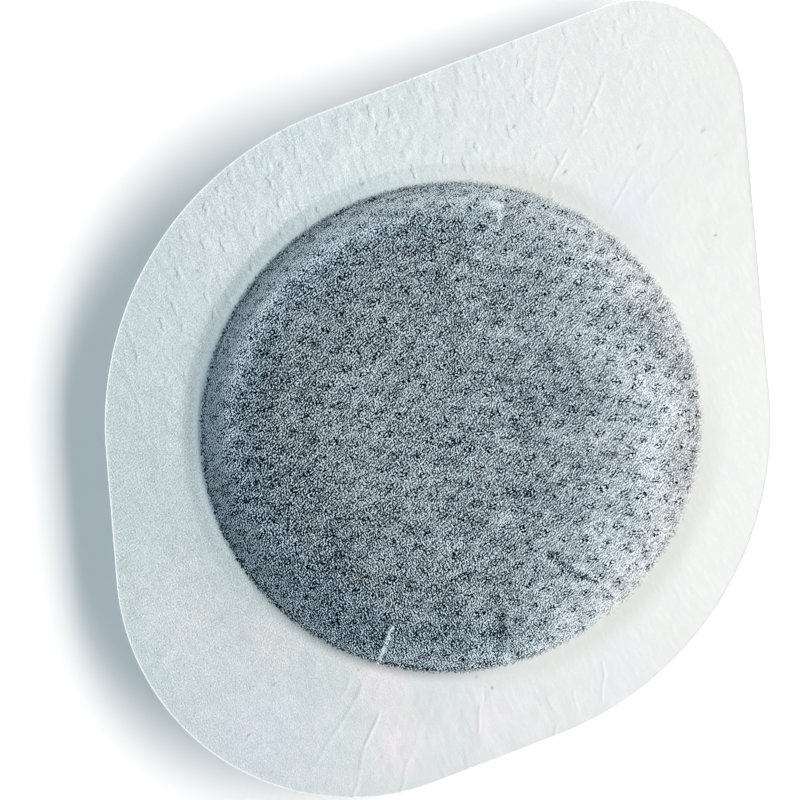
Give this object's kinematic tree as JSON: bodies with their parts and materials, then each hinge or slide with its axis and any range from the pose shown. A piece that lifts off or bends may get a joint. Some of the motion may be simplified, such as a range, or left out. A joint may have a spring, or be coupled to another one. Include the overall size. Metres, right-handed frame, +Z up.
{
  "type": "espresso pod",
  "caption": "Soft round puck of ground coffee sealed between white filter papers, with a flat drop-shaped border that ends in a rounded pull tab.",
  "frame": {"origin": "centre of the flat underside of the lower filter paper, on the axis of the coffee puck", "axes": "+Z up through the puck towards the domed upper paper, +Y along the pull tab, +X to the right seen from above"},
  "size_m": [0.0586, 0.0776, 0.0093],
  "materials": {
    "upper_paper": "matt embossed filter paper, the coffee showing through",
    "lower_paper": "matt embossed filter paper",
    "ground_coffee": "finely ground roasted coffee, pressed"
  },
  "bodies": {
    "root": {"upper_filter_paper": "upper_paper", "lower_filter_paper": "lower_paper", "coffee_puck": "ground_coffee"}
  },
  "joints": []
}
